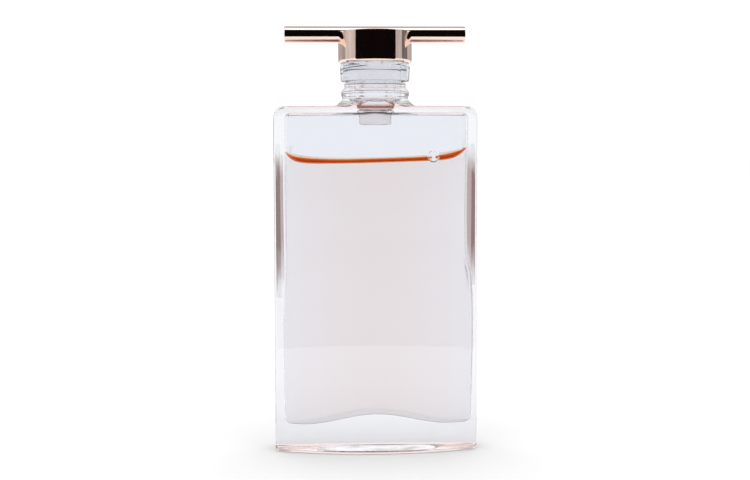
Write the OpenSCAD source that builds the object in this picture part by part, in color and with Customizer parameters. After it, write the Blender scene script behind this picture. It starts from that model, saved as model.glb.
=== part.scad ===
// Miniature flat perfume bottle with a screw-on cross-bar cap.
// Sizes are in millimetres. +Z is up, the front faces -Y, and the origin is the middle of the base.

/* [Glass body] */
// Width of the body from one narrow side to the other
body_w = 30.3; // [28:0.1:33]
// Height of the body from its base to the shoulder
body_h = 51.6; // [45:0.1:58]
// Thickness of the body at its middle
body_t = 10.3; // [10.2:0.1:12]
// Thickness of the body at its two narrow sides
side_t = 4.6; // [4.2:0.1:6]
// Radius of the two top corners, seen from the front
top_corner_r = 1.5; // [0.6:0.1:2]
// Radius of the two bottom corners, seen from the front
foot_corner_r = 0.7; // [0.4:0.1:1.2]

/* [Cavity] */
// Thickness of the glass between the cavity and the middle of the front
front_wall = 1.9; // [1.5:0.1:2.2]
// Thickness of the glass between the cavity and a narrow side
side_wall = 1.9; // [1.8:0.1:3]
// Depth of the cavity at its two ends
cavity_side_t = 1.9; // [1.5:0.1:2.2]
// Height of the lowest part of the cavity floor above the base
floor_z = 4.05; // [3:0.05:6]
// How far the middle of the floor domes up
floor_dome = 1.7; // [0.8:0.1:2.4]
// Thickness of the glass above the cavity
shoulder_wall = 1; // [1:0.05:2]
// Radius of the cavity corners, seen from the front
cavity_corner_r = 1; // [0.5:0.1:1.4]

/* [Neck] */
// Radius of the plain neck just below the cap
neck_r = 4.6; // [4.55:0.05:4.7]
// Largest radius of the rounded bead around the neck
bead_r = 5.1; // [4.9:0.05:5.1]
// Radius of the concave flare where the neck leaves the shoulder
flare_r = 1.75; // [1:0.05:1.8]
// Height of the neck step that the cap stops just above, over the shoulder
neck_h = 3.5; // [3.1:0.1:3.5]
// Height of the rim over the shoulder
rim_h = 7.8; // [7.8:0.05:8]
// Radius of the bore through the neck
bore_r = 2.6; // [2.4:0.05:2.7]

/* [Screw thread] */
// Rise of the thread in one turn
lead = 2; // [1.8:0.05:2]
// Radius of the threaded part of the neck, between its ridges
thread_root_r = 3.8; // [3.6:0.05:3.85]
// Radius of the crest of the neck's ridge
thread_crest_r = 4.22; // [4.1:0.02:4.24]
// Number of turns of each ridge
thread_turns = 1; // [0.8:0.05:1]

/* [Orifice plug] */
// How far the plug reaches below the top of the cavity
plug_drop = 1.7; // [0.5:0.05:2]
// Radius of the hole that the perfume comes out through
orifice_r = 0.9; // [0.6:0.1:1]

/* [Cap] */
// Outer radius of the metal collar
collar_r = 5.5; // [5.4:0.05:5.8]
// Height of the metal collar
collar_h = 4.7; // [4.6:0.05:5.2]
// Height of the clear ring that shows below the collar
skirt_h = 2.7; // [2.4:0.05:2.8]
// Largest outer radius of the clear ring
skirt_r = 5.22; // [5.1:0.02:5.3]
// Inner radius of the clear ring
skirt_bore_r = 4.33; // [4.3:0.01:4.4]
// Length of the cross bar from end to end
bar_length = 26.9; // [20:0.1:32]
// Diameter of the cross bar
bar_d = 2.5; // [2:0.1:2.6]
// How far the axis of the cross bar lies below the top of the collar
bar_sink = 0.45; // [0.2:0.05:0.5]

/* [Contents and label] */
// Height of the liquid above the base
fill_z = 43.6; // [20:0.1:44]
// Length of the clear film on the base
label_l = 16; // [10:0.5:18]
// Width of the clear film on the base
label_w = 5; // [3:0.5:6]

/* [Hidden] */

curve_fn = 96;
lens_fn = 720;
thread_steps_per_turn = 32;
overlap = 0.5;

// Cavity
cavity_w = body_w - 2 * side_wall;
cavity_t = body_t - 2 * front_wall;
cavity_top_z = body_h - shoulder_wall;
dome_half_w = cavity_w / 2 - 2;
dome_r = (dome_half_w * dome_half_w + floor_dome * floor_dome) / (2 * floor_dome);
liquid_gap = 0.02;

// Neck
bead_section_r = 0.55;
bead_z = body_h + 1.9;
neck_top_z = body_h + neck_h;
rim_z = body_h + rim_h;
rim_round = 0.25;

// Plug
plug_gap = 0.04;
plug_rib = 0.1;
plug_rib_z = [2, 3.2, 4.4];
plug_wall = 0.7;
plug_roof = 1.1;
plug_tip_r = 2.36;
plug_tip_h = 3;
flange_h = 0.35;
flange_r = 3.4;
plug_bottom_z = cavity_top_z - plug_drop;
plug_top_z = rim_z + flange_h;

// Cap heights, from the bottom of the clear ring up
skirt_z = neck_top_z + 0.2;
collar_z = skirt_z + skirt_h;
collar_top_z = collar_z + collar_h;
disc_gap = 0.02;
disc_t = 0.35;
disc_r = skirt_bore_r - 0.13;
insert_ceiling_z = plug_top_z + disc_gap + disc_t;
insert_roof = 0.5;
insert_top_z = insert_ceiling_z + insert_roof;
insert_r = collar_r - 0.5;
skirt_taper = 0.12;
skirt_chamfer = 0.55;
glue_gap = 0.02;
lip_taper = 0.45;
lip_taper_h = 0.55;
top_chamfer = 0.15;

// Cross bar
bar_axis_z = collar_top_z - bar_sink;
bar_chamfer = 0.12;
groove_gap = 0.01;

// Thread ridges. The cap's ridge lies just under the neck's, so that turning the cap pulls it down.
neck_ridge_z = neck_top_z + 1.55;
flank_gap = 0.12;
ridge_start = 17;
ridge_root_w = 0.9;
ridge_crest_w = 0.4;
ridge_sunk = 0.15;
ridge_fade = 1 / 8;
cap_crest_r = thread_root_r + 0.1;
cap_ridge_z = neck_ridge_z - (ridge_root_w + ridge_crest_w) / 2 - flank_gap;

// Base
recess_margin = 0.6;
recess_depth = 0.3;
film_t = 0.1;

// A prism with a lens-shaped plan: two shallow arcs between two flat narrow sides.
module lens_prism(w, t, edge_t, h) {
    sag = (t - edge_t) / 2;
    arc_r = (w * w / 4 + sag * sag) / (2 * sag);
    intersection() {
        translate([0, arc_r - t / 2, 0])
            cylinder(r = arc_r, h = h, $fn = lens_fn);
        translate([0, t / 2 - arc_r, 0])
            cylinder(r = arc_r, h = h, $fn = lens_fn);
        translate([-w / 2, -t / 2, 0])
            cube([w, t, h]);
    }
}

// A flat panel that stands in the XZ plane, with its own radius at the bottom and the top corners.
module corner_panel(w, h, bottom_r, top_r, depth) {
    rotate([90, 0, 0])
        linear_extrude(depth, center = true) {
            translate([-w / 2, bottom_r])
                square([w, h - bottom_r - top_r]);
            translate([bottom_r - w / 2, 0])
                square([w - 2 * bottom_r, h / 2]);
            translate([top_r - w / 2, h / 2])
                square([w - 2 * top_r, h / 2]);
            for (side = [-1, 1]) {
                translate([side * (w / 2 - bottom_r), bottom_r])
                    circle(r = bottom_r, $fn = curve_fn);
                translate([side * (w / 2 - top_r), h - top_r])
                    circle(r = top_r, $fn = curve_fn);
            }
        }
}

// The hollow inside the body, made smaller all round by gap.
module cavity(gap = 0) {
    w = cavity_w - 2 * gap;
    t = cavity_t - 2 * gap;
    h = cavity_top_z - floor_z - 2 * gap;
    translate([0, 0, floor_z + gap])
        difference() {
            intersection() {
                lens_prism(w, t, cavity_side_t - 2 * gap, h);
                corner_panel(w, h, cavity_corner_r, cavity_corner_r, body_t);
            }
            translate([0, 0, floor_dome - dome_r])
                rotate([90, 0, 0])
                    cylinder(r = dome_r, h = 2 * body_t, center = true, $fn = lens_fn);
        }
}

// Half section of the neck, from inside the shoulder up to the rim.
module neck_section() {
    flare_x = neck_r + 0.3 + flare_r;
    difference() {
        translate([0, body_h - overlap])
            square([flare_x, overlap + flare_r]);
        translate([flare_x, body_h + flare_r])
            circle(r = flare_r, $fn = curve_fn);
    }
    translate([0, body_h])
        square([neck_r, neck_h]);
    translate([bead_r - bead_section_r, bead_z])
        circle(r = bead_section_r, $fn = curve_fn);
    translate([0, body_h])
        square([thread_root_r, rim_h - rim_round]);
    translate([0, body_h])
        square([thread_root_r - rim_round, rim_h]);
    translate([thread_root_r - rim_round, rim_z - rim_round])
        circle(r = rim_round, $fn = curve_fn);
}

// A helical ridge on a wall of radius wall_r, rising to crest_r, which may lie outside or inside the wall.
// It starts at the height z and fades in and out at its ends.
module thread_ridge(wall_r, crest_r, z) {
    out = sign(crest_r - wall_r);
    steps = round(thread_turns * thread_steps_per_turn);
    fade_steps = round(ridge_fade * thread_steps_per_turn);
    function share(i) = min(1, (i + 0.5) / fade_steps, (steps - i + 0.5) / fade_steps);
    function spot(r, angle, height) = [r * cos(angle), r * sin(angle), height];
    function ring(i) =
        let (
            angle = ridge_start + 360 * i / thread_steps_per_turn,
            mid = z + lead * i / thread_steps_per_turn,
            top_r = wall_r + (crest_r - wall_r) * share(i),
            foot_r = wall_r - out * ridge_sunk
        ) [
            spot(foot_r, angle, mid - ridge_root_w / 2),
            spot(top_r, angle, mid - ridge_crest_w / 2),
            spot(top_r, angle, mid + ridge_crest_w / 2),
            spot(foot_r, angle, mid + ridge_root_w / 2)
        ];
    points = [for (i = [0:steps]) each ring(i)];
    sides = [for (i = [0:steps - 1], k = [0:3])
        let (a = 4 * i + k, b = 4 * i + (k + 1) % 4) each [[a, b, b + 4], [a, b + 4, a + 4]]];
    first = [[0, 2, 1], [0, 3, 2]];
    last = [for (f = first) [4 * steps + f[0], 4 * steps + f[2], 4 * steps + f[1]]];
    outward = concat(sides, first, last);
    inward = [for (f = outward) [f[0], f[2], f[1]]];
    polyhedron(points = points, faces = out > 0 ? outward : inward, convexity = 6);
}

// A flat plate with round ends, in the XY plane.
module stadium(l, w, h) {
    linear_extrude(h) {
        square([l - w, w], center = true);
        for (side = [-1, 1])
            translate([side * (l - w) / 2, 0])
                circle(d = w, $fn = curve_fn);
    }
}

// Clear glass: the body, its neck with the outer thread, the cavity and the bore.
module glass_bottle() {
    color([0.88, 0.93, 0.97, 0.4])
        difference() {
            union() {
                intersection() {
                    lens_prism(body_w, body_t, side_t, body_h);
                    corner_panel(body_w, body_h, foot_corner_r, top_corner_r, 2 * body_t);
                }
                intersection() {
                    rotate_extrude($fn = curve_fn)
                        neck_section();
                    lens_prism(body_w, body_t, side_t, rim_z + overlap);
                }
                thread_ridge(thread_root_r, thread_crest_r, neck_ridge_z);
            }
            cavity();
            translate([0, 0, cavity_top_z - overlap])
                cylinder(r = bore_r, h = rim_z - cavity_top_z + 2 * overlap, $fn = curve_fn);
            translate([0, 0, -overlap])
                stadium(label_l + 2 * recess_margin, label_w + 2 * recess_margin,
                    overlap + recess_depth);
        }
}

// The perfume, up to its fill line.
module perfume_liquid() {
    color([0.98, 0.78, 0.7, 0.5])
        intersection() {
            cavity(liquid_gap);
            translate([-body_w / 2, -body_t / 2, 0])
                cube([body_w, body_t, fill_z]);
        }
}

// Soft plastic plug in the bore, with three gripping ribs and a small hole through its roof.
module orifice_plug() {
    plug_r = bore_r - plug_gap;
    color([0.88, 0.88, 0.88])
        rotate_extrude($fn = curve_fn)
            difference() {
                union() {
                    translate([0, plug_bottom_z])
                        square([plug_tip_r, plug_tip_h + overlap]);
                    translate([0, plug_bottom_z + plug_tip_h])
                        square([plug_r, plug_top_z - plug_bottom_z - plug_tip_h]);
                    translate([0, rim_z])
                        square([flange_r, flange_h]);
                    for (drop = plug_rib_z)
                        translate([plug_r - plug_rib / 2, rim_z - drop])
                            circle(r = plug_rib, $fn = curve_fn);
                }
                translate([0, plug_bottom_z - overlap])
                    square([plug_r - plug_wall, plug_top_z - plug_roof - plug_bottom_z + overlap]);
                translate([0, plug_bottom_z])
                    square([orifice_r, plug_top_z - plug_bottom_z + overlap]);
            }
}

// Clear plastic inner cap: it carries the thread, and its skirt shows as a ring below the collar.
module screw_insert() {
    color([0.93, 0.95, 0.98, 0.45])
        union() {
            rotate_extrude($fn = curve_fn)
                polygon([
                    [skirt_bore_r, skirt_z],
                    [skirt_r - skirt_taper, skirt_z],
                    [skirt_r, collar_z - skirt_chamfer],
                    [insert_r, collar_z],
                    [insert_r, insert_top_z],
                    [0, insert_top_z],
                    [0, insert_ceiling_z],
                    [skirt_bore_r, insert_ceiling_z]
                ]);
            thread_ridge(skirt_bore_r, cap_crest_r, cap_ridge_z);
        }
}

// Soft disc under the roof of the inner cap, which closes the plug's hole.
module sealing_disc() {
    color("white")
        translate([0, 0, insert_ceiling_z - disc_t])
            cylinder(r = disc_r, h = disc_t, $fn = curve_fn);
}

// Polished metal collar: a shell around the inner cap. Its solid head has an open groove for the cross bar.
module collar_shell() {
    groove_r = bar_d / 2 + groove_gap;
    inner_r = insert_r + glue_gap;
    color([0.84, 0.62, 0.5])
        difference() {
            rotate_extrude($fn = curve_fn)
                polygon([
                    [inner_r, collar_z],
                    [collar_r - lip_taper, collar_z],
                    [collar_r, collar_z + lip_taper_h],
                    [collar_r, collar_top_z - top_chamfer],
                    [collar_r - top_chamfer, collar_top_z],
                    [0, collar_top_z],
                    [0, insert_top_z + glue_gap],
                    [inner_r, insert_top_z + glue_gap]
                ]);
            translate([0, 0, bar_axis_z])
                rotate([0, 90, 0])
                    cylinder(r = groove_r, h = 3 * collar_r, center = true, $fn = curve_fn);
            translate([-2 * collar_r, -groove_r, bar_axis_z])
                cube([4 * collar_r, 2 * groove_r, bar_sink + overlap]);
        }
}

// Polished metal rod that lies in the groove of the collar's head.
module cross_bar() {
    half = bar_length / 2;
    color([0.84, 0.62, 0.5])
        translate([0, 0, bar_axis_z])
            rotate([0, 90, 0])
                rotate_extrude($fn = curve_fn)
                    polygon([
                        [0, -half],
                        [bar_d / 2 - bar_chamfer, -half],
                        [bar_d / 2, bar_chamfer - half],
                        [bar_d / 2, half - bar_chamfer],
                        [bar_d / 2 - bar_chamfer, half],
                        [0, half]
                    ]);
}

// Clear blank film in the recess of the base.
module base_film() {
    color([0.95, 0.95, 0.95, 0.6])
        translate([0, 0, recess_depth - film_t])
            stadium(label_l, label_w, film_t);
}

glass_bottle();
perfume_liquid();
orifice_plug();
screw_insert();
sealing_disc();
collar_shell();
cross_bar();
base_film();
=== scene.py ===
"""A miniature flat perfume bottle with a screw-on cross-bar cap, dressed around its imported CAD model."""

import math

import bmesh
import bpy
import numpy as np
from mathutils import Matrix, Vector


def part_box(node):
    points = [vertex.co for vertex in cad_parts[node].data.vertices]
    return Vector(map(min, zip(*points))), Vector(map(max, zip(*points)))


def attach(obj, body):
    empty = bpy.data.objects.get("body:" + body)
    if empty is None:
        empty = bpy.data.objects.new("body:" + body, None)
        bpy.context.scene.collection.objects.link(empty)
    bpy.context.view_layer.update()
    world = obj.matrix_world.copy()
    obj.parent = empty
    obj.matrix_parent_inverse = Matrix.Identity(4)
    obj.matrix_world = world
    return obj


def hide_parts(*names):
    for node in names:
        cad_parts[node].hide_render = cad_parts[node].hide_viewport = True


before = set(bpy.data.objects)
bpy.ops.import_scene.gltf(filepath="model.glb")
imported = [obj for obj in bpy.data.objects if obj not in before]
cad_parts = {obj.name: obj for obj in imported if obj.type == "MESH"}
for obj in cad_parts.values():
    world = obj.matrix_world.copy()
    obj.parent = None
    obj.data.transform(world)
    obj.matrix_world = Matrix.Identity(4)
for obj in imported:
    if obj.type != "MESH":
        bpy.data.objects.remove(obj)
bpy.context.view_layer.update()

MM = 0.001
TAU = 2 * math.pi


def size_of(node):
    """A CAD node's lowest and highest corners, in millimetres."""
    low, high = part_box(node)
    return np.array(low) / MM, np.array(high) / MM


# ---------------------------------------------------------------- sizes, in millimetres

glass_high = size_of("glass_bottle")[1]
liquid_low, liquid_high = size_of("perfume_liquid")
plug_low, plug_high = size_of("orifice_plug")
insert_low, insert_high = size_of("screw_insert")
disc_low, disc_high = size_of("sealing_disc")
collar_low, collar_high = size_of("collar_shell")
bar_low, bar_high = size_of("cross_bar")
film_low, film_high = size_of("base_film")

# Glass body, whose edges are rounder at the narrow sides than on the broad faces
BODY_HALF_W = glass_high[0]
BODY_HALF_T = glass_high[1]
BODY_HALF_SIDE = 2.3
RIM_Z = glass_high[2]
SHOULDER_Z = RIM_Z - 7.8
VERTICAL_EDGE_R = 0.55
FOOT_SIDE_R, FOOT_FRONT_R = 0.75, 0.5
TOP_CORNER_R = 1.5
TOP_EDGE_R = 0.4
RECESS_DEPTH = 0.3
RECESS_MARGIN = 0.6
RECESS_EDGE = 0.1

# Cavity, where PLAN_R is the most that a rounded edge draws the outline in
GLASS_GAP = 0.02
CAVITY_HALF_W = liquid_high[0] + GLASS_GAP
CAVITY_HALF_T = liquid_high[1] + GLASS_GAP
CAVITY_HALF_SIDE = 0.95
CAVITY_EDGE_R = 0.8
CAVITY_PLAN_R = 0.85 * CAVITY_EDGE_R
CAVITY_TOP_Z = SHOULDER_Z - 1.0
HEEL_SIDE_R, HEEL_FRONT_R = 0.9, 0.5
ROOF_SIDE_R, ROOF_FRONT_R = 1.0, 0.45
MOUTH_R = 0.28
FLOOR_Z = liquid_low[2] - GLASS_GAP
FLOOR_DOME = 1.7
DOME_HALF_W = CAVITY_HALF_W - 2

# How far the cavity's sides stand out beyond their CAD planes at each height, where the moulded wall is thinner.
# The swelling grows over the outer part of the width, from SWELL_FROM of it.
RIGHT_SWELL = [(3, 0.75), (9, 0.95), (16, 1.1), (20, 1.12), (24, 1.05), (26.5, 0.85), (28.5, 0.35), (30.5, 0.1),
               (36, 0.06), (42, 0.12), (48, 0.3)]
LEFT_SWELL = [(3, 0.1), (9, 0.25), (16, 0.33), (21, 0.3), (25, 0.1), (29, -0.05), (36, 0.05), (42, 0.05),
              (48, -0.05)]
SWELL_FROM, SWELL_SPAN = 0.7, 0.3

# Flare from the shoulder to the neck, the neck's profile, thread, rim and bore.
# The profile is radius and height over the shoulder, from the waist over the bead to the step under the thread.
FLARE_R = 1.75
FLARE_X = 6.65
NECK_PROFILE = [(5.16, 0.72), (4.98, 0.98), (4.93, 1.2), (5.0, 1.5), (5.09, 1.8), (5.09, 2.05), (4.95, 2.35),
                (4.72, 2.62), (4.61, 2.85), (4.59, 3.1), (4.59, 3.36), (4.5, 3.48), (4.3, 3.5), (3.95, 3.52),
                (3.8, 3.62), (3.8, 3.72)]
THREAD_FOOT_Z = SHOULDER_Z + 3.82
THREAD_ROOT_R = 3.8
THREAD_CREST_R = 3.95
THREAD_STEP = 0.08
LEAD = 2.0
RIDGE_Z = SHOULDER_Z + 5.6
RIDGE_START = math.radians(17)
RIDGE_FADE = math.radians(45)
RIDGE_ROOT_W = 0.9
RIDGE_CREST_W = 0.3
RIM_EDGE_R = 0.25
RIM_MIDDLE_R = 3.2
BORE_R = 2.6
BORE_EDGE_R = 0.15

# Plug, which grips the bore between two heights, and has a narrower tip below
GRIP_LOW_Z = CAVITY_TOP_Z + 0.7
GRIP_HIGH_Z = RIM_Z - 0.4
TIP_R = 2.36
HOLLOW_R = 2.0
HOLE_R = 0.9
PLUG_WEB = 1.1

# Cap
SKIRT_BORE_R = 4.33
CORE_R = 4.98
CAP_CREST_R = 4.2
CAP_RIDGE_Z = RIDGE_Z - (RIDGE_ROOT_W + RIDGE_CREST_W) / 2 - 0.12
COLLAR_BORE_R = 5.02
BAR_R = bar_high[1]
BAR_Z = (bar_high[2] + bar_low[2]) / 2

# Liquid surface: its level in the middle, how it climbs the walls, and its slight tilt
LIQUID_Z = liquid_high[2] - 0.2
WALL_CLIMB = 0.62
TIP_CLIMB = 1.17
RIM_DROP = 0.15
RIM_CURL = 1.85
CLIMB_LENGTH = 0.7
SURFACE_TILT = 0.024
LEAST_DEPTH = 0.02
SURFACE_RISE = 0.13
WET_GAP = 0.006
BUBBLE_X, BUBBLE_Z, BUBBLE_R = 8.4, 44.15, 0.93
BUBBLE_GAP = 0.05

# Shares of the way out from the middle at which the liquid's rings lie, on its seam and on its surface
SEAM_SHARES = (0.2, 0.4, 0.6, 0.8, 0.92, 0.98)
SURFACE_SHARES = (0.997, 0.99, 0.98, 0.965, 0.945, 0.92, 0.89, 0.85, 0.8, 0.72, 0.62, 0.5, 0.36, 0.18)

# Optics. An index against another medium is their ratio. Weak ones keep black streaks out.
GLASS_IOR = 1.52
LIQUID_IOR = 1.36
AIR_IN_LIQUID_IOR = 1 / 1.22
GLASS_BLUE = (0.882, 0.893, 0.926)
# The next tone is a painted pinkish reflection, laid into the clear glass at the foot and along the shoulder.
PAINTED_WARM_REFLECTION = (0.86, 0.6, 0.56)
# The next tone is painted dark shade, a dark line along the shoulder in the plugged glass.
PAINTED_SHADE_BROWN = (0.25, 0.1, 0.06)
WHITE = (1, 1, 1)


# ---------------------------------------------------------------- mesh helpers

def add_object(name, data):
    obj = bpy.data.objects.new(name, data)
    bpy.context.scene.collection.objects.link(obj)
    return obj


def make_object(name, vertices, faces, body):
    """A piece of the object, from vertices in millimetres, that rides on a body."""
    mesh = bpy.data.meshes.new(name)
    mesh.from_pydata([tuple(v) for v in np.asarray(vertices) * MM], [], faces)
    mesh.update()
    clean = bmesh.new()
    clean.from_mesh(mesh)
    bmesh.ops.remove_doubles(clean, verts=clean.verts, dist=1e-7)
    bmesh.ops.recalc_face_normals(clean, faces=clean.faces)
    clean.to_mesh(mesh)
    clean.free()
    obj = add_object(name, mesh)
    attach(obj, body)
    return obj


def ring_faces(rings, count, closed_start=True, closed_end=True):
    """Quads between rings of count points, and fans to a pole before the first and after the last ring."""
    faces = []
    for r in range(rings - 1):
        a, b = r * count, (r + 1) * count
        for i in range(count):
            j = (i + 1) % count
            faces.append((a + i, a + j, b + j, b + i))
    last = (rings - 1) * count
    if closed_start:
        faces += [(rings * count, (i + 1) % count, i) for i in range(count)]
    if closed_end:
        end = rings * count + (1 if closed_start else 0)
        faces += [(end, last + i, last + (i + 1) % count) for i in range(count)]
    return faces


def loft(rings, start=None, end=None):
    """Vertices and faces of a surface through rings, with an optional pole at each end."""
    rings = np.asarray(rings)
    poles = [p for p in (start, end) if p is not None]
    vertices = np.vstack([rings.reshape(-1, 3), np.array(poles).reshape(-1, 3)])
    return vertices, ring_faces(len(rings), rings.shape[1], start is not None, end is not None)


def smooth(obj, angle=None):
    """Smooth shading, with sharp edges above angle degrees if it is given."""
    obj.data.shade_smooth()
    if angle is not None:
        obj.data.set_sharp_from_angle(angle=math.radians(angle))


def add_materials(obj, *materials):
    for material in materials:
        obj.data.materials.append(material)


def apply_modifiers(obj):
    graph = bpy.context.evaluated_depsgraph_get()
    mesh = bpy.data.meshes.new_from_object(obj.evaluated_get(graph), depsgraph=graph)
    obj.modifiers.clear()
    obj.data = mesh


def quarter_turn(step, first=0):
    """Angles from first to 90 degrees, step degrees apart."""
    return np.radians(np.arange(first, 91, step))


def ease(share):
    return share * share * (3 - 2 * share)


# ---------------------------------------------------------------- outlines

SIDE_STEPS, CORNER_STEPS, ARC_STEPS = 5, 9, 56
QUARTER = SIDE_STEPS + CORNER_STEPS + ARC_STEPS
COUNT = 4 * QUARTER


def lens_outline(half_w, half_t, half_side, corner_r):
    """Points and outward normals of a lens-shaped plan with rounded vertical edges, anticlockwise from +X."""
    sag = max(half_t - half_side, 1e-4)
    radius = (half_w**2 + sag**2) / (2 * sag)
    centre_y = half_t - radius
    corner_y = centre_y + math.sqrt((radius - corner_r) ** 2 - (half_w - corner_r) ** 2)
    corner_y = max(corner_y, 0)
    turn = math.atan2(corner_y - centre_y, half_w - corner_r)
    quarter = []
    for k in range(SIDE_STEPS):
        quarter.append((half_w, corner_y * k / SIDE_STEPS, 0.0))
    for k in range(CORNER_STEPS):
        a = turn * k / CORNER_STEPS
        quarter.append((half_w - corner_r + corner_r * math.cos(a), corner_y + corner_r * math.sin(a), a))
    for k in range(ARC_STEPS + 1):
        a = turn + (math.pi / 2 - turn) * k / ARC_STEPS
        quarter.append((radius * math.cos(a), centre_y + radius * math.sin(a), a))
    x, y, a = np.array(quarter).T
    forth, back = slice(0, QUARTER), slice(QUARTER, 0, -1)
    quarters = ((forth, 1, 1), (back, -1, 1), (forth, -1, -1), (back, 1, -1))
    return [np.concatenate([np.stack([flip_x * u[part], flip_y * v[part]], 1) for part, flip_x, flip_y in quarters])
            for u, v in ((x, y), (np.cos(a), np.sin(a)))]


def oval_outline(half_l, half_w):
    """A plan of the film's kind, with straight long sides and round ends."""
    return lens_outline(half_l, half_w, half_w - 1e-3, half_w - 0.05)


BODY_PLAN, BODY_NORMAL = lens_outline(BODY_HALF_W, BODY_HALF_T, BODY_HALF_SIDE, VERTICAL_EDGE_R)
POLAR = np.arctan2(BODY_PLAN[:, 1], BODY_PLAN[:, 0])
CAVITY_PLAN, CAVITY_NORMAL = lens_outline(CAVITY_HALF_W, CAVITY_HALF_T, CAVITY_HALF_SIDE, CAVITY_EDGE_R)
WET_PLAN = CAVITY_PLAN - CAVITY_NORMAL * WET_GAP


def at_height(plan, z):
    return np.column_stack([plan, np.broadcast_to(z, len(plan))])


def drawn_in(plan, normal, inset):
    """A plan moved in along its normals by inset, one number or one for each point."""
    return plan - normal * np.broadcast_to(inset, len(plan))[:, None]


def circle(radius, z, polar=POLAR):
    radius = np.broadcast_to(radius, len(polar))
    return np.column_stack([radius * np.cos(polar), radius * np.sin(polar), np.broadcast_to(z, len(polar))])


def side_mix(normals, at_side, at_front):
    """A radius for each point of an outline: at_side on the narrow sides and at_front on the broad faces."""
    return np.hypot(at_side * normals[:, 0], at_front * normals[:, 1])


FOOT_R = side_mix(BODY_NORMAL, FOOT_SIDE_R, FOOT_FRONT_R)
HEEL_R = side_mix(CAVITY_NORMAL, HEEL_SIDE_R, HEEL_FRONT_R)


def through(points, steps):
    """A smooth curve through points, with steps points on each stretch."""
    p = np.array(points, float)
    p = np.vstack([2 * p[0] - p[1], p, 2 * p[-1] - p[-2]])
    curve = []
    for i in range(1, len(p) - 2):
        for t in np.arange(steps) / steps:
            a, b, c, d = p[i - 1], p[i], p[i + 1], p[i + 2]
            curve.append(0.5 * (2 * b + (c - a) * t + (2 * a - 5 * b + 4 * c - d) * t**2
                                + (3 * b - a - 3 * c + d) * t**3))
    curve.append(p[-2])
    return np.array(curve)


NECK_CURVE = through(NECK_PROFILE, 4)


def ridge_share(polar, z, first_z):
    """How much of the thread ridge stands at each point: 1 on its crest and 0 between its turns."""
    share = np.zeros(np.broadcast(polar, z).shape)
    for turn in (0, 1):
        along = (polar - RIDGE_START) % TAU + turn * TAU
        centre = first_z + LEAD * along / TAU
        flank = (RIDGE_ROOT_W - RIDGE_CREST_W) / 2
        across = np.clip((RIDGE_ROOT_W / 2 - np.abs(z - centre)) / flank, 0, 1)
        ends = np.clip(np.minimum(along, TAU - along) / RIDGE_FADE, 0, 1)
        ends = np.where(along <= TAU, ends, 0)
        share = np.maximum(share, ease(across) * ends)
    return ease(share)


# ---------------------------------------------------------------- the glass

def top_height(plan):
    """Height of the shoulder: flat, rounded off at the corners, and rising in a concave flare to the neck."""
    rho = np.clip(np.hypot(plan[:, 0], plan[:, 1]), FLARE_X - FLARE_R, FLARE_X)
    past = np.clip(np.abs(plan[:, 0]) - (BODY_HALF_W - TOP_CORNER_R), 0, TOP_CORNER_R)
    drop = TOP_CORNER_R - np.sqrt(TOP_CORNER_R**2 - past**2)
    return SHOULDER_Z + FLARE_R - np.sqrt(FLARE_R**2 - (FLARE_X - rho) ** 2) - drop


def swell(ring):
    """A ring of the cavity with its narrow sides moved out to where the moulded wall really runs."""
    x, y, z = ring.T
    out = np.where(x > 0, np.interp(z, *zip(*RIGHT_SWELL)), -np.interp(z, *zip(*LEFT_SWELL)))
    share = np.clip((np.abs(x) / CAVITY_HALF_W - SWELL_FROM) / SWELL_SPAN, 0, 1) ** 2
    return np.column_stack([x + out * share, y, z])


def floor_height(x):
    share = np.clip(np.abs(x) / DOME_HALF_W, 0, 1)
    return FLOOR_Z + FLOOR_DOME * 0.5 * (1 + np.cos(math.pi * share))


def contact_height(x):
    """Height at which the liquid meets the glass, at a distance x from the middle."""
    tip = TIP_CLIMB * (np.abs(x) / CAVITY_HALF_W) ** 3.2
    return LIQUID_Z + WALL_CLIMB + SURFACE_TILT * x + tip


def base_rings():
    """From the middle of the recess over its edge, across the flat foot and round the lower edge of the walls."""
    recess, normal = oval_outline(film_high[0] + RECESS_MARGIN, film_high[1] + RECESS_MARGIN)
    rings = [at_height(recess * share, RECESS_DEPTH) for share in (0.25, 0.5, 0.75, 0.95)]
    for inset, z in ((RECESS_EDGE, RECESS_DEPTH), (0.03, RECESS_DEPTH - 0.03), (0, RECESS_DEPTH - RECESS_EDGE),
                     (0, 0.08), (-0.03, 0.02), (-RECESS_EDGE, 0)):
        rings.append(at_height(drawn_in(recess, normal, inset), z))
    edge, foot = drawn_in(recess, normal, -RECESS_EDGE), drawn_in(BODY_PLAN, BODY_NORMAL, FOOT_R)
    for share in (0.2, 0.4, 0.6, 0.8):
        rings.append(at_height(edge * (1 - share) + foot * share, 0))
    for a in quarter_turn(10):
        plan = drawn_in(BODY_PLAN, BODY_NORMAL, FOOT_R * (1 - math.sin(a)))
        rings.append(at_height(plan, FOOT_R * (1 - math.cos(a))))
    return rings


def wall_rings():
    """Up the walls and round the edge of the shoulder, which is sharper where the neck comes near it."""
    edge_r = np.minimum(TOP_EDGE_R, 0.05 + 0.6 * (np.hypot(*BODY_PLAN.T) - BODY_HALF_T))
    high = top_height(BODY_PLAN) - edge_r
    rings = [at_height(BODY_PLAN, FOOT_R + (high - FOOT_R) * share) for share in np.linspace(0, 1, 26)[1:]]
    for a in quarter_turn(10, 10):
        plan = drawn_in(BODY_PLAN, BODY_NORMAL, edge_r * (1 - math.cos(a)))
        rings.append(at_height(plan, top_height(plan) - edge_r * (1 - math.sin(a))))
    return rings


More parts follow.
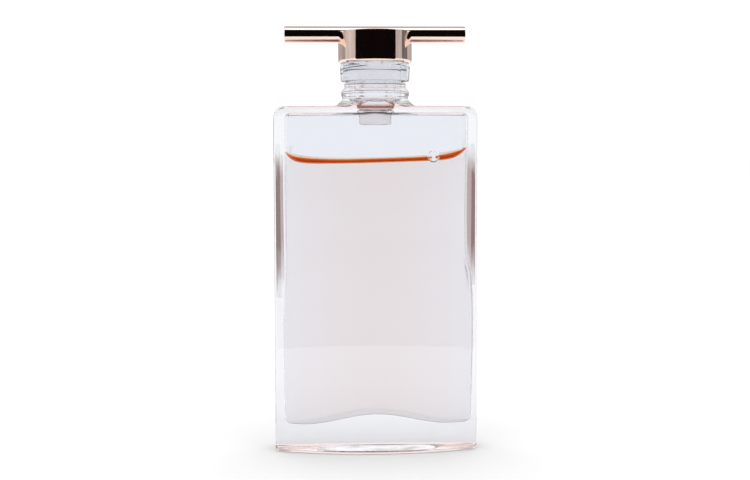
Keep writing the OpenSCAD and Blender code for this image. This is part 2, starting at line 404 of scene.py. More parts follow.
def shoulder_rings(edge):
    """In from the shoulder's edge over the flat shoulder, then up the flare while the plan turns round."""
    rho, polar = np.hypot(*edge.T), np.arctan2(edge[:, 1], edge[:, 0])
    flare_rho = np.minimum(rho, FLARE_X)
    rings = []
    for share in (0.015, 0.03, 0.045, 0.06, 0.08, 0.1, 0.12, 0.15, 0.2, 0.4, 0.6, 0.8, 1.0):
        r = rho + (flare_rho - rho) * share
        plan = np.column_stack([r * np.cos(polar), r * np.sin(polar)])
        rings.append(at_height(plan, top_height(plan)))
    last_turn = math.asin((FLARE_X - NECK_CURVE[0, 0]) / FLARE_R)
    first_turn = np.minimum(np.arcsin(np.clip((FLARE_X - flare_rho) / FLARE_R, 0, 1)), last_turn)
    swing = (POLAR - polar + math.pi) % TAU - math.pi
    for share in np.linspace(0, 1, 10)[1:-1]:
        turn = first_turn + (last_turn - first_turn) * share
        r = np.minimum(FLARE_X - FLARE_R * np.sin(turn), rho)
        rings.append(circle(r, SHOULDER_Z + FLARE_R * (1 - np.cos(turn)), polar + swing * share))
    return rings


def neck_rings():
    """Up the neck over its bead, step and thread, and over the rim into the bore."""
    rings = [circle(r, SHOULDER_Z + z) for r, z in NECK_CURVE]
    for z in np.arange(THREAD_FOOT_Z, RIM_Z - RIM_EDGE_R, THREAD_STEP):
        share = ridge_share(POLAR, z, RIDGE_Z)
        rings.append(circle(THREAD_ROOT_R + (THREAD_CREST_R - THREAD_ROOT_R) * share, z))
    for a in quarter_turn(15):
        rings.append(circle(THREAD_ROOT_R - RIM_EDGE_R * (1 - math.cos(a)),
                            RIM_Z - RIM_EDGE_R * (1 - math.sin(a))))
    rings.append(circle(RIM_MIDDLE_R, RIM_Z))
    for a in quarter_turn(22.5):
        rings.append(circle(BORE_R + BORE_EDGE_R * (1 - math.sin(a)), RIM_Z - BORE_EDGE_R * (1 - math.cos(a))))
    return rings


def floor_rings(plan, gap=0.0):
    """Round the heel of the cavity and in over its domed floor, a gap above the glass."""
    heel_plan_r = np.minimum(HEEL_R, CAVITY_PLAN_R)
    rings = []
    for a in quarter_turn(10, 10):
        p = drawn_in(plan, CAVITY_NORMAL, heel_plan_r * (1 - math.cos(a)))
        rings.append(at_height(p, floor_height(p[:, 0]) + gap + HEEL_R * (1 - math.sin(a))))
    edge = rings[-1][:, :2]
    for share in np.linspace(1, 0, 16)[1:-1]:
        rings.append(at_height(edge * share, floor_height(edge[:, 0] * share) + gap))
    return rings


def cavity_rings():
    """Down the bore, out under the shoulder, and down the inner walls past the liquid's edge to the floor."""
    rings = [circle(BORE_R, z) for z in np.linspace(RIM_Z - 0.8, CAVITY_TOP_Z + 0.5, 10)]
    for a in quarter_turn(15):
        rings.append(circle(BORE_R + MOUTH_R * (1 - math.cos(a)), CAVITY_TOP_Z + MOUTH_R * (1 - math.sin(a))))
    edge_r = np.minimum(side_mix(CAVITY_NORMAL, ROOF_SIDE_R, ROOF_FRONT_R),
                        0.1 + 0.5 * (np.hypot(*CAVITY_PLAN.T) - BORE_R - MOUTH_R))
    plan_r = np.minimum(edge_r, CAVITY_PLAN_R)
    mouth, inner = rings[-1][:, :2], drawn_in(CAVITY_PLAN, CAVITY_NORMAL, plan_r)
    for share in (0.15, 0.35, 0.55, 0.75, 0.9):
        rings.append(at_height(mouth * (1 - share) + inner * share, CAVITY_TOP_Z))
    for a in quarter_turn(10):
        plan = drawn_in(CAVITY_PLAN, CAVITY_NORMAL, plan_r * (1 - math.sin(a)))
        rings.append(at_height(plan, CAVITY_TOP_Z - edge_r * (1 - math.cos(a))))
    top, wet = rings[-1][:, 2], contact_height(CAVITY_PLAN[:, 0])
    heel = floor_height(CAVITY_PLAN[:, 0]) + HEEL_R
    for high, low, steps in ((top, wet, 7), (wet, heel, 45)):
        for share in np.linspace(0, 1, steps)[1:]:
            rings.append(at_height(CAVITY_PLAN, high + (low - high) * share))
    rings += floor_rings(CAVITY_PLAN)
    return [ring if ring[:, 2].min() > CAVITY_TOP_Z + 0.01 else swell(ring) for ring in rings]


def glass_part(centre):
    """Which glass a face with this middle has: 0 in air, 1 against perfume, 2 against the plug, 3 stippled."""
    x, y, z = abs(centre.x), abs(centre.y), centre.z
    if math.hypot(x, y) < BORE_R + 0.02 and GRIP_LOW_Z < z < GRIP_HIGH_Z:
        return 2
    half_t = CAVITY_HALF_T - (CAVITY_HALF_T - CAVITY_HALF_SIDE) * min(x / CAVITY_HALF_W, 1) ** 2
    if x < CAVITY_HALF_W + 1.2 and y < half_t + 0.11 and FLOOR_Z - 0.1 < z < contact_height(centre.x):
        return 1
    in_recess = x < film_high[0] + RECESS_MARGIN and y < film_high[1] + RECESS_MARGIN - 0.05
    if in_recess and 0.05 < z < RECESS_DEPTH + 0.01:
        return 3
    return 0


def build_glass():
    rings = base_rings() + wall_rings()
    rings += shoulder_rings(rings[-1][:, :2]) + neck_rings() + cavity_rings()
    vertices, faces = loft(rings, (0, 0, RECESS_DEPTH), (0, 0, floor_height(0.0)))
    obj = make_object("glass_bottle_clear", vertices, faces, "bottle")
    smooth(obj)
    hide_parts("glass_bottle")
    add_materials(obj, glass_material("bottle_glass", GLASS_IOR),
                  glass_material("bottle_glass_wet", GLASS_IOR / LIQUID_IOR),
                  # The plugged glass carries a painted dark shade line along the shoulder.
                  glass_material("bottle_glass_plugged", 1.01, PAINTED_SHADE_BROWN, (-0.3, -0.12)),
                  glass_material("bottle_glass_stippled", GLASS_IOR, roughest=0.5))
    for face in obj.data.polygons:
        face.material_index = glass_part(face.center / MM)


# ---------------------------------------------------------------- the liquid

def rim_height(x):
    """Height of the lower edge of the curved rim of liquid that climbs the glass."""
    share = np.abs(x) / CAVITY_HALF_W
    return LIQUID_Z - RIM_DROP + SURFACE_TILT * x + RIM_DROP * share**2 + RIM_CURL * share**11


def liquid_object(name, rings, start_z, end_z):
    vertices, faces = loft([swell(ring) for ring in rings], (0, 0, start_z), (0, 0, end_z))
    obj = make_object(name, vertices, faces, "bottle")
    smooth(obj, 50)
    return obj


def build_perfume():
    """The body of the liquid, which only tints."""
    low = floor_height(CAVITY_PLAN[:, 0]) + HEEL_R + WET_GAP
    high = rim_height(CAVITY_PLAN[:, 0]) - WET_GAP
    rings = floor_rings(WET_PLAN, WET_GAP)[::-1]
    for share in np.linspace(0, 1, 45):
        rings.append(at_height(WET_PLAN, low + (high - low) * share))
    for share in SEAM_SHARES[::-1]:
        rings.append(at_height(WET_PLAN * share, rim_height(WET_PLAN[:, 0] * share) - WET_GAP))
    obj = liquid_object("perfume", rings, floor_height(0.0) + WET_GAP, rim_height(0.0) - WET_GAP)
    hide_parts("perfume_liquid")
    add_materials(obj, liquid_material())


def build_meniscus():
    """A layer on top of the perfume, whose curved upper face bends the light."""
    seam, contact = rim_height(CAVITY_PLAN[:, 0]), contact_height(CAVITY_PLAN[:, 0])
    rings = [at_height(WET_PLAN * share, rim_height(WET_PLAN[:, 0] * share)) for share in SEAM_SHARES]
    for share in np.linspace(0, 1, 6):
        rings.append(at_height(WET_PLAN, seam + (contact - seam) * share))
    surface_from = (len(rings) - 1) * COUNT
    facing = np.abs(np.sum(CAVITY_NORMAL * WET_PLAN, 1)) / np.linalg.norm(WET_PLAN, axis=1)
    for share in SURFACE_SHARES:
        plan = WET_PLAN * share
        depth = np.linalg.norm(WET_PLAN - plan, axis=1) * facing
        climb = np.exp(-depth / CLIMB_LENGTH)
        low = rim_height(plan[:, 0])
        z = low + (contact_height(plan[:, 0]) - low) * climb
        rings.append(at_height(plan, np.maximum(z, low + LEAST_DEPTH) + SURFACE_RISE * (1 - climb)))
    obj = liquid_object("perfume_meniscus", rings, rim_height(0.0), LIQUID_Z)
    # Both layers carry the painted orange of light bent down through the perfume.
    add_materials(obj, meniscus_material("perfume_rim", 1.0), meniscus_material("perfume_surface", 1.03, 0.5))
    rise = obj.data.attributes.new("rise", "FLOAT", "POINT")
    for vertex, share in zip(obj.data.vertices, rise.data):
        low, high = rim_height(vertex.co.x / MM), contact_height(vertex.co.x / MM)
        share.value = min(max((vertex.co.z / MM - low) / (high - low), 0), 1)
    for face in obj.data.polygons:
        if min(face.vertices) >= surface_from and face.normal.z > 0.05:
            face.material_index = 1


def build_bubble():
    """An air bubble at the surface, against the front near the right end."""
    wall = CAVITY_HALF_T - (CAVITY_HALF_T - CAVITY_HALF_SIDE) * (BUBBLE_X / CAVITY_HALF_W) ** 2
    centre = np.array([BUBBLE_X, BUBBLE_R + BUBBLE_GAP - wall, BUBBLE_Z])
    around = np.arange(96) * TAU / 96
    rings = [circle(BUBBLE_R * math.cos(a), BUBBLE_R * math.sin(a), around)
             for a in np.radians(np.linspace(-90, 90, 49))[1:-1]]
    vertices, faces = loft(rings, (0, 0, -BUBBLE_R), (0, 0, BUBBLE_R))
    obj = make_object("air_bubble", vertices + centre, faces, "bottle")
    smooth(obj)
    add_materials(obj, bubble_material())


# ---------------------------------------------------------------- turned parts

TURNED = 160
EVEN = np.arange(TURNED) * TAU / TURNED


def turned(name, profile, body, ridge=None, lay=None):
    """A body of revolution from (radius, height) points, which start and end on the axis or make a closed loop.

    ridge changes the radius of a ring at a height, and lay moves the finished vertices."""
    rings, poles = [], []
    for r, z in profile:
        if r < 1e-6:
            poles.append((0, 0, z))
        else:
            rings.append(circle(ridge(r, z) if ridge else r, z, EVEN))
    vertices, faces = loft(rings, *poles)
    return make_object(name, lay(vertices) if lay else vertices, faces, body)


def rounded(points, radius, steps=5):
    """A profile through points whose inner corners are rounded by radius."""
    p = [np.array(q, float) for q in points]
    out = [p[0]]
    for i in range(1, len(p) - 1):
        before, after = p[i - 1] - p[i], p[i + 1] - p[i]
        room = min(radius, 0.45 * np.linalg.norm(before), 0.45 * np.linalg.norm(after))
        a = p[i] + before / np.linalg.norm(before) * room
        b = p[i] + after / np.linalg.norm(after) * room
        for t in np.linspace(0, 1, steps):
            out.append((1 - t) ** 2 * a + 2 * t * (1 - t) * p[i] + t**2 * b)
    out.append(p[-1])
    return out


def build_plug():
    """Soft plug, wetted against the bore, with its flange on the rim and a narrower tip below the bore."""
    top, bottom, flange_r = plug_high[2], plug_low[2], plug_high[0]
    grip_r, free_r = BORE_R - WET_GAP, BORE_R - 0.04
    profile = [(HOLLOW_R, bottom), (TIP_R - 0.15, bottom), (TIP_R, bottom + 0.2), (TIP_R, GRIP_LOW_Z - 0.2),
               (grip_r, GRIP_LOW_Z), (grip_r, GRIP_HIGH_Z), (free_r, RIM_Z - 0.2), (free_r, RIM_Z),
               (flange_r, RIM_Z), (flange_r, top), (HOLE_R, top), (HOLE_R, top - PLUG_WEB),
               (HOLLOW_R, top - PLUG_WEB), (HOLLOW_R, bottom)]
    obj = turned("orifice_plug_soft", rounded(profile, 0.08, 4), "bottle")
    smooth(obj, 40)
    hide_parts("orifice_plug")
    add_materials(obj, soft_plastic_material("natural_soft_plastic", 1.25, (0.93, 0.9, 0.89), 0.93),
                  soft_plastic_material("natural_soft_plastic_wet", 1.02, (0.99, 0.985, 0.98), 1))
    for face in obj.data.polygons:
        centre = face.center / MM
        radius = math.hypot(centre.x, centre.y)
        if GRIP_LOW_Z < centre.z < GRIP_HIGH_Z and (radius > BORE_R - 0.1 or radius < HOLLOW_R + 0.05):
            face.material_index = 1


def build_insert():
    """Clear inner cap, with the thread's crest standing into its bore."""
    bottom, top, skirt_r = insert_low[2], insert_high[2], insert_high[0]
    collar_z, roof_z = collar_low[2], disc_high[2]
    outside = rounded([(0, top), (CORE_R, top), (CORE_R, collar_z - 0.02), (CORE_R + 0.1, collar_z - 0.08),
                       (skirt_r, collar_z - 0.55), (skirt_r - 0.12, bottom), (SKIRT_BORE_R, bottom),
                       (SKIRT_BORE_R, bottom + 0.2)], 0.14)
    bore = [(SKIRT_BORE_R, z) for z in np.arange(bottom + 0.25, roof_z - 0.25, 0.07)]
    roof = rounded([(SKIRT_BORE_R, roof_z - 0.2), (SKIRT_BORE_R, roof_z), (0, roof_z)], 0.1)

    def ridge(radius, z):
        height = (SKIRT_BORE_R - CAP_CREST_R) * ridge_share(EVEN, z, CAP_RIDGE_Z)
        return radius - (height if abs(radius - SKIRT_BORE_R) < 1e-6 else 0)

    obj = turned("screw_insert_clear", outside + bore + roof, "cap", ridge)
    smooth(obj, 40)
    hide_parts("screw_insert")
    add_materials(obj, clear_plastic_material("clear_cap_plastic", 1.42, 0.01, 0.04),
                  clear_plastic_material("clear_cap_plastic_bore", 1.12, 0.03, 0.08))
    for face in obj.data.polygons:
        if math.hypot(face.center.x, face.center.y) / MM < SKIRT_BORE_R + 0.02:
            face.material_index = 1


def build_disc():
    r, low, high = disc_high[0], disc_low[2], disc_high[2]
    profile = rounded([(0, low), (r, low), (r, high), (0, high)], 0.08)
    obj = turned("sealing_disc_foam", profile, "seal")
    smooth(obj, 40)
    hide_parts("sealing_disc")
    add_materials(obj, foam_material())


def groove_cutter(top):
    """A long solid with a round bottom, which cuts the bar's groove out of the collar up to the height top."""
    half, reach = BAR_R + 0.01, 7
    outline = [(-half * math.cos(a), BAR_Z - half * math.sin(a)) for a in np.linspace(0, math.pi, 64)]
    outline += [(half, top), (-half, top)]
    mesh = bmesh.new()
    ends = [[mesh.verts.new((x * MM, y * MM, z * MM)) for y, z in outline] for x in (-reach, reach)]
    for i in range(len(outline)):
        j = (i + 1) % len(outline)
        mesh.faces.new((ends[0][i], ends[0][j], ends[1][j], ends[1][i]))
    mesh.faces.new(ends[0][::-1])
    mesh.faces.new(ends[1])
    bmesh.ops.recalc_face_normals(mesh, faces=mesh.faces)
    data = bpy.data.meshes.new("groove_cutter")
    mesh.to_mesh(data)
    mesh.free()
    return add_object("groove_cutter", data)


def build_collar(metal):
    """Polished collar with a rolled lower lip and the groove that the bar lies in."""
    r, low, high = collar_high[0], collar_low[2], collar_high[2]
    roof = insert_high[2] + 0.02
    lip = [(r - 0.45 * (1 - math.cos(a)), low + 0.55 * (1 - math.sin(a))) for a in quarter_turn(9)]
    profile = rounded([(0, high), (r, high), (r, low + 0.8)], 0.1, 6) + lip
    profile += rounded([(r - 0.46, low), (COLLAR_BORE_R, low), (COLLAR_BORE_R, roof), (0, roof)], 0.06)
    obj = turned("collar_polished", profile, "cap")
    cutter = groove_cutter(high + 1)
    cut = obj.modifiers.new("groove", "BOOLEAN")
    cut.operation, cut.object, cut.solver = "DIFFERENCE", cutter, "EXACT"
    apply_modifiers(obj)
    bpy.data.objects.remove(cutter)
    smooth(obj, 25)
    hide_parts("collar_shell")
    obj.data.materials.clear()
    add_materials(obj, metal)


def build_bar(metal):
    """Polished bar, turned about the vertical and laid across the cap."""
    half = bar_high[0]
    profile = rounded([(0, -half), (BAR_R, -half), (BAR_R, half), (0, half)], 0.1, 6)
    middle = [(BAR_R, z) for z in np.linspace(-half + 1, half - 1, 25)]
    cut = len(profile) // 2
    obj = turned("cross_bar_polished", profile[:cut] + middle + profile[cut:], "cap",
                 lay=lambda v: np.column_stack([v[:, 2], v[:, 0], BAR_Z + v[:, 1]]))
    smooth(obj, 40)
    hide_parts("cross_bar")
    add_materials(obj, metal)


def build_film():
    low, high = film_low[2], film_high[2] - 0.015
    plan, normal = oval_outline(film_high[0], film_high[1])
    rings = [at_height(plan * share, low) for share in (0.3, 0.6, 0.95)]
    for inset, z in ((0.03, low), (0, low + 0.02), (0, high - 0.02), (0.03, high)):
        rings.append(at_height(drawn_in(plan, normal, inset), z))
    rings += [at_height(plan * share, high) for share in (0.95, 0.6, 0.3)]
    vertices, faces = loft(rings, (0, 0, low), (0, 0, high))
    obj = make_object("base_film_clear", vertices, faces, "bottle")
    smooth(obj, 40)
    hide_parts("base_film")
    add_materials(obj, film_material())


# ---------------------------------------------------------------- material helpers

def new_material(name):
    material = bpy.data.materials.new(name)
    material.use_nodes = True
    tree = material.node_tree
    return material, tree, tree.nodes["Principled BSDF"]


def clear_material(name, ior, tone=None, share=1):
    """A material that lets through a share of the light, with the same tone all over if tone is given."""
    material, tree, bsdf = new_material(name)
    if tone:
        bsdf.inputs["Base Color"].default_value = (*tone, 1)
    bsdf.inputs["Transmission Weight"].default_value = share
    bsdf.inputs["IOR"].default_value = ior
    return material, tree, bsdf


def noise(tree, scale, detail=2.0, stretch=(1, 1, 1)):
    """A noise pattern in the piece's own coordinates, where scale is in waves a metre."""
    place = tree.nodes.new("ShaderNodeTexCoord")
    mapping = tree.nodes.new("ShaderNodeMapping")
    mapping.inputs["Scale"].default_value = stretch
    pattern = tree.nodes.new("ShaderNodeTexNoise")
    pattern.inputs["Scale"].default_value = scale
    pattern.inputs["Detail"].default_value = detail
    tree.links.new(place.outputs["Object"], mapping.inputs["Vector"])
    tree.links.new(mapping.outputs["Vector"], pattern.inputs["Vector"])
    return pattern.outputs["Fac"]


def height_of(tree):
    """The height in the piece's own coordinates, in metres."""
    place = tree.nodes.new("ShaderNodeTexCoord")
    split = tree.nodes.new("ShaderNodeSeparateXYZ")
    tree.links.new(place.outputs["Object"], split.inputs["Vector"])
    return split.outputs["Z"]


def spread(tree, value, from_low, from_high, to_low=0, to_high=1, clamp=True):
    """Value, moved from one range to another."""
    node = tree.nodes.new("ShaderNodeMapRange")
    node.clamp = clamp
    for socket, amount in (("From Min", from_low), ("From Max", from_high),
                           ("To Min", to_low), ("To Max", to_high)):
        node.inputs[socket].default_value = amount
    tree.links.new(value, node.inputs["Value"])
    return node.outputs["Result"]


def vary(tree, factor, low, high, socket):
    """Sends a noise pattern to socket, spread between low and high."""
    tree.links.new(spread(tree, factor, 0.3, 0.7, low, high), socket)


def wander(tree, value, amount, pattern):
    """Value, with amount times a noise pattern added."""
    node = tree.nodes.new("ShaderNodeMath")
    node.operation = "MULTIPLY_ADD"
    node.inputs[1].default_value = amount
    tree.links.new(pattern, node.inputs[0])
    tree.links.new(value, node.inputs[2])
    return node.outputs["Value"]


def colour_ramp(tree, factor, stops):
    """Colours by factor, through (place, colour) stops of which the first and last are the ends."""
    ramp = tree.nodes.new("ShaderNodeValToRGB")
    tree.links.new(factor, ramp.inputs["Fac"])
    elements = ramp.color_ramp.elements
    for index in (0, -1):
        elements[index].position = stops[index][0]
        elements[index].color = (*stops[index][1], 1)
    for place, colour in stops[1:-1]:
        elements.new(place).color = (*colour, 1)
    return ramp.outputs["Color"]


def bump(tree, bsdf, factor, distance, strength):
    node = tree.nodes.new("ShaderNodeBump")
    node.inputs["Strength"].default_value = strength
    node.inputs["Distance"].default_value = distance
    tree.links.new(factor, node.inputs["Height"])
    tree.links.new(node.outputs["Normal"], bsdf.inputs["Normal"])


# ---------------------------------------------------------------- materials

def glass_material(name, ior, painted_line_colour=PAINTED_WARM_REFLECTION, line=(-0.2, 0.1), roughest=0.005):
    """Faintly blue glass with the slow waves of a fire-polished surface.

    It has a painted warm reflection at the foot, and another painted coloured line between the two heights over the
    shoulder in line: a painted warm reflection unless painted_line_colour gives the painted dark shade of the
    plugged glass."""
    material, tree, bsdf = clear_material(name, ior)
    low, high = SHOULDER_Z + line[0], SHOULDER_Z + line[1]
    # These stops paint the warm reflection at the foot and the painted line over the shoulder into the glass's own
    # faint blue.
    stops = ((0, GLASS_BLUE), (0.25, PAINTED_WARM_REFLECTION), (0.6, GLASS_BLUE), (low - 0.15, GLASS_BLUE), (low, painted_line_colour),
             (high, painted_line_colour), (high + 0.3, GLASS_BLUE), (RIM_Z, GLASS_BLUE))
    height = spread(tree, height_of(tree), 0, RIM_Z * MM)
    colour = colour_ramp(tree, height, [(z / RIM_Z, tone) for z, tone in stops])
    tree.links.new(colour, bsdf.inputs["Base Color"])
    vary(tree, noise(tree, 300), 0.0, roughest, bsdf.inputs["Roughness"])
    bump(tree, bsdf, noise(tree, 70, 1.0, (1, 1, 0.25)), 0.00002, 0.3)
    return material


def liquid_material():
    """Peach perfume that only tints: the glass and the meniscus round it bend the light."""
    material, tree, bsdf = clear_material("perfume_liquid", 1, WHITE)
    bsdf.inputs["Roughness"].default_value = 0
    volume = tree.nodes.new("ShaderNodeVolumeAbsorption")
    volume.inputs["Color"].default_value = (0.87, 0.3, 0, 1)
    volume.inputs["Density"].default_value = 24
    tree.links.new(volume.outputs["Volume"], tree.nodes["Material Output"].inputs["Volume"])
    return material


def bubble_share(tree):
    """1 on what lies in front of or behind the bubble, and 0 elsewhere."""
    place = tree.nodes.new("ShaderNodeTexCoord")
    flat = tree.nodes.new("ShaderNodeVectorMath")
    flat.operation = "MULTIPLY"
    flat.inputs[1].default_value = (1, 0, 1)
    away = tree.nodes.new("ShaderNodeVectorMath")
    away.operation = "DISTANCE"
    away.inputs[1].default_value = (BUBBLE_X * MM, 0, BUBBLE_Z * MM)
    tree.links.new(place.outputs["Object"], flat.inputs[0])
    tree.links.new(flat.outputs["Vector"], away.inputs[0])
    return spread(tree, away.outputs["Value"], BUBBLE_R * 0.9 * MM, BUBBLE_R * 1.02 * MM, 1, 0)


def meniscus_material(name, ior, strength=1.0):
    """Pale at the rim's two edges and deep orange between them, in uneven streaks, and clear at the bubble; the
    orange is painted light, standing in for light bent down through the long column of perfume.
    """
    material, tree, bsdf = clear_material(name, ior)
    rise = tree.nodes.new("ShaderNodeAttribute")
    rise.attribute_name = "rise"
    streaks = wander(tree, rise.outputs["Fac"], 0.5, noise(tree, 400, 3.0, (0.3, 0.3, 2.5)))
    # The middle stops are the painted orange of light bent down through the perfume.
    middle = ((0.22, (0.87, 0.4, 0.18)), (0.45, (0.7, 0.18, 0.035)), (0.7, (0.78, 0.26, 0.065)),
              (0.95, (0.87, 0.46, 0.25)))
    stops = [(place, [1 + (c - 1) * strength for c in colour]) for place, colour in middle]
    clear = tree.nodes.new("ShaderNodeMix")
    clear.data_type = "RGBA"
    clear.inputs["B"].default_value = (*WHITE, 1)
    orange = colour_ramp(tree, streaks, [(0, (0.95, 0.85, 0.78)), *stops, (1, (0.95, 0.85, 0.76))])
    tree.links.new(orange, clear.inputs["A"])
    tree.links.new(bubble_share(tree), clear.inputs["Factor"])
    tree.links.new(clear.outputs["Result"], bsdf.inputs["Base Color"])
    # The orange specular tint is a painted reflection colour.
    bsdf.inputs["Specular Tint"].default_value = (1, 0.3, 0.08, 1)
    bsdf.inputs["Roughness"].default_value = 0
    return material


def bubble_material():
    material, tree, bsdf = clear_material("bubble_wall", AIR_IN_LIQUID_IOR, WHITE)
    vary(tree, noise(tree, 800), 0.0, 0.01, bsdf.inputs["Roughness"])
    return material


def clear_plastic_material(name, ior, smoothest, roughest):
    material, tree, bsdf = clear_material(name, ior, (0.93, 0.93, 0.94))
    vary(tree, noise(tree, 900), smoothest, roughest, bsdf.inputs["Roughness"])
    bump(tree, bsdf, noise(tree, 500, 2.0), 0.00001, 0.5)
    return material


def soft_plastic_material(name, ior, tone, share):
    material, tree, bsdf = clear_material(name, ior, tone, share)
    vary(tree, noise(tree, 1500), 0.12, 0.25, bsdf.inputs["Roughness"])
    bump(tree, bsdf, noise(tree, 2500, 3.0), 0.00001, 0.4)
    return material


def foam_material():
    material, tree, bsdf = new_material("liner_foam")
    bsdf.inputs["Base Color"].default_value = (0.86, 0.86, 0.84, 1)
    vary(tree, noise(tree, 3000), 0.6, 0.85, bsdf.inputs["Roughness"])
    bump(tree, bsdf, noise(tree, 8000, 3.0), 0.00003, 0.6)
    return material


def film_material():
    material, tree, bsdf = clear_material("clear_film", 1.45, (0.96, 0.97, 0.98))
    vary(tree, noise(tree, 900), 0.08, 0.2, bsdf.inputs["Roughness"])
    return material


def metal_material():
    """Rose-gold polish, with slightly paler and duller patches and the faint waves of a thin plated wall."""
    material, tree, bsdf = new_material("rose_gold_polished")
    colour = colour_ramp(tree, noise(tree, 90, 2.0), ((0.35, (0.9, 0.7, 0.61)), (0.65, (0.93, 0.75, 0.665))))
    tree.links.new(colour, bsdf.inputs["Base Color"])
    bsdf.inputs["Metallic"].default_value = 1
    vary(tree, noise(tree, 700, 3.0), 0.03, 0.09, bsdf.inputs["Roughness"])
    bump(tree, bsdf, noise(tree, 220, 1.5), 0.000015, 0.35)
    return material


def floor_material():
    material, tree, bsdf = new_material("pale_floor")
    colour = colour_ramp(tree, noise(tree, 6, 2.0), ((0, (0.94, 0.94, 0.94)), (1, (0.96, 0.96, 0.96))))
    tree.links.new(colour, bsdf.inputs["Base Color"])
    bsdf.inputs["Roughness"].default_value = 0.9
    bsdf.inputs["Specular IOR Level"].default_value = 0.1
    return material


def light_material(name):
    """A material that only gives light, its node tree and the node of the light."""
    material, tree, bsdf = new_material(name)
    tree.nodes.remove(bsdf)
    glow = tree.nodes.new("ShaderNodeEmission")
    tree.links.new(glow.outputs["Emission"], tree.nodes["Material Output"].inputs["Surface"])
    return material, tree, glow


def plain_light(name, colour):
    """A screen's light of one colour and slightly uneven strength."""
    material, tree, glow = light_material(name)
    glow.inputs["Color"].default_value = (*colour, 1)
    vary(tree, noise(tree, 12, 2.0), 0.8, 1.15, glow.inputs["Strength"])
    return material


def strip_light(name, colour, low, high):
    """A strip's light, fading unevenly into the white room at heights low and high."""
    material, tree, glow = light_material(name)
    pale = [0.5 + 0.5 * c for c in colour]
    height = spread(tree, height_of(tree), low, high, -0.2, 0.8, clamp=False)
    uneven = wander(tree, height, 0.4, noise(tree, 260, 3.0, (1, 1, 0.5)))
    stops = ((0, WHITE), (0.12, pale), (0.32, colour), (0.8, colour), (0.92, pale), (1, WHITE))
    tree.links.new(colour_ramp(tree, uneven, stops), glow.inputs["Color"])
    return material


# ---------------------------------------------------------------- studio, in metres and degrees

def build_floor():
    """A pale floor, a hair below the base so that the two don't touch."""
    mesh = bpy.data.meshes.new("floor")
    reach, z = 6.0, -0.00003
    mesh.from_pydata([(-reach, -reach, z), (reach, -reach, z), (reach, reach, z), (-reach, reach, z)], [],
                     [(0, 1, 2, 3)])
    floor = add_object("floor", mesh)
    add_materials(floor, floor_material())


def add_screen(name, vertices, faces, material, seen_by):
    """A screen of light that only the rays named by seen_by meet, glossy or transmission."""
    mesh = bpy.data.meshes.new(name)
    mesh.from_pydata(vertices, [], faces)
    obj = add_object(name, mesh)
    add_materials(obj, material)
    obj.visible_camera = False
    obj.visible_shadow = False
    obj.visible_diffuse = False
    obj.visible_glossy = seen_by == "glossy"
    obj.visible_transmission = seen_by == "transmission"


def curved_screen(name, radius, start, end, low, high, material, seen_by):
    """A screen curved round the object between two azimuths, of which 0 is in front and 180 behind."""
    steps = max(2, int(abs(end - start) / 2) + 1)
    vertices = []
    for a in np.radians(np.linspace(start, end, steps)):
        vertices += [(radius * math.sin(a), -radius * math.cos(a), z) for z in (low, high)]
    faces = [(2 * i, 2 * i + 2, 2 * i + 3, 2 * i + 1) for i in range(steps - 1)]
    add_screen(name, vertices, faces, material, seen_by)


def ceiling(name, front, back, tone):
    reach, height = 0.5, 0.36
    corners = [(-reach, front, height), (reach, front, height), (reach, back, height), (-reach, back, height)]
    add_screen(name, corners, [(0, 1, 2, 3)], plain_light(name, (tone, tone, tone)), "glossy")


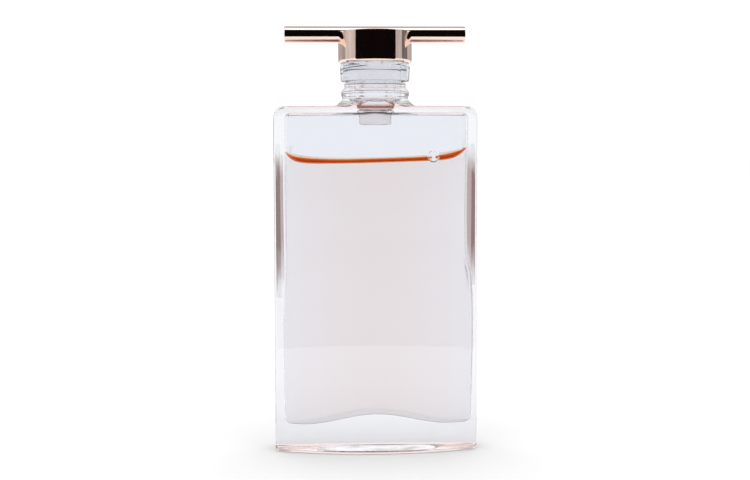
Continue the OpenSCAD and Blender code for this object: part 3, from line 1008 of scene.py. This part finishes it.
def build_screens():
    """Dark in front, where the room is unlit, greys round the sides, and mauve strips behind the glass's edges."""
    curved_screen("dark_front", 0.11, -64, 64, 0.0005, 0.32, plain_light("dark_front", (0.004, 0.003, 0.003)),
                  "glossy")
    for name, start, end, tone in (("left_light", -108, -64, 0.68), ("left_grey", -128, -108, 0.36),
                                   ("right_light", 64, 90, 0.58), ("right_dark", 90, 118, 0.19),
                                   ("back_grey", 118, 232, 0.5)):
        curved_screen(name, 0.5, start, end, 0, 0.9, plain_light(name, (tone, tone * 0.98, tone * 0.98)), "glossy")
    ceiling("ceiling_light", -0.13, 0.04, 1.9)
    ceiling("ceiling_grey", 0.04, 0.6, 0.55)
    for name, start, end, low, high, colour in (
            ("strip_left_line", 160.8, 163.6, 0.009, 0.0465, (0.16, 0.13, 0.14)),
            ("strip_left_mauve", 163.6, 165.75, 0.009, 0.0465, (0.33, 0.235, 0.22)),
            ("strip_left_pale", 165.75, 166.4, 0.012, 0.044, (0.6, 0.5, 0.48)),
            ("strip_right_pale", 188.0, 189.0, 0.014, 0.0465, (0.6, 0.46, 0.43)),
            ("strip_right_mauve", 189.0, 191.2, 0.012, 0.0465, (0.33, 0.21, 0.21))):
        curved_screen(name, 0.12, start, end, low, high, strip_light(name, colour, low, high), "transmission")


def build_world():
    world = bpy.data.worlds.new("studio")
    bpy.context.scene.world = world
    world.use_nodes = True
    back = world.node_tree.nodes["Background"]
    back.inputs["Color"].default_value = (*WHITE, 1)
    back.inputs["Strength"].default_value = 1.1


def build_softbox():
    """A large soft lamp above and slightly behind the object."""
    place, aim = Vector((0, 0.05, 0.9)), Vector((0, 0, 0.03))
    lamp = bpy.data.lights.new("top_softbox", "AREA")
    lamp.shape = "RECTANGLE"
    lamp.size, lamp.size_y = 0.9, 0.9
    lamp.energy = 0.6
    obj = add_object("top_softbox", lamp)
    obj.location = place
    obj.rotation_mode = "QUATERNION"
    obj.rotation_quaternion = (place - aim).to_track_quat("Z", "Y")
    obj.visible_camera = False


def build_camera():
    """At the distance and height of the view in the picture, almost level and a little left of straight on."""
    distance, azimuth, height = 0.1966, math.radians(-2.46), 0.04525
    aim = Vector((-0.00005, 0, 0.03159))
    roll = math.radians(-0.14)
    data = bpy.data.cameras.new("camera")
    data.sensor_width = 36
    data.lens = 62.77
    data.clip_start = 0.005
    data.clip_end = 20
    camera = add_object("camera", data)
    camera.location = (distance * math.sin(azimuth), -distance * math.cos(azimuth), height)
    turn = (camera.location - aim).to_track_quat("Z", "Y").to_matrix()
    camera.rotation_mode = "QUATERNION"
    camera.rotation_quaternion = (turn @ Matrix.Rotation(roll, 3, "Z")).to_quaternion()
    bpy.context.scene.camera = camera


scene = bpy.context.scene
scene.view_settings.view_transform = "Standard"
scene.cycles.max_bounces = 24
scene.cycles.transmission_bounces = 20
scene.cycles.glossy_bounces = 12
scene.cycles.transparent_max_bounces = 12

build_camera()
build_floor()
build_world()
build_screens()
build_softbox()
rose_gold = metal_material()
build_glass()
build_perfume()
build_meniscus()
build_bubble()
build_plug()
build_insert()
build_disc()
build_collar(rose_gold)
build_bar(rose_gold)
build_film()
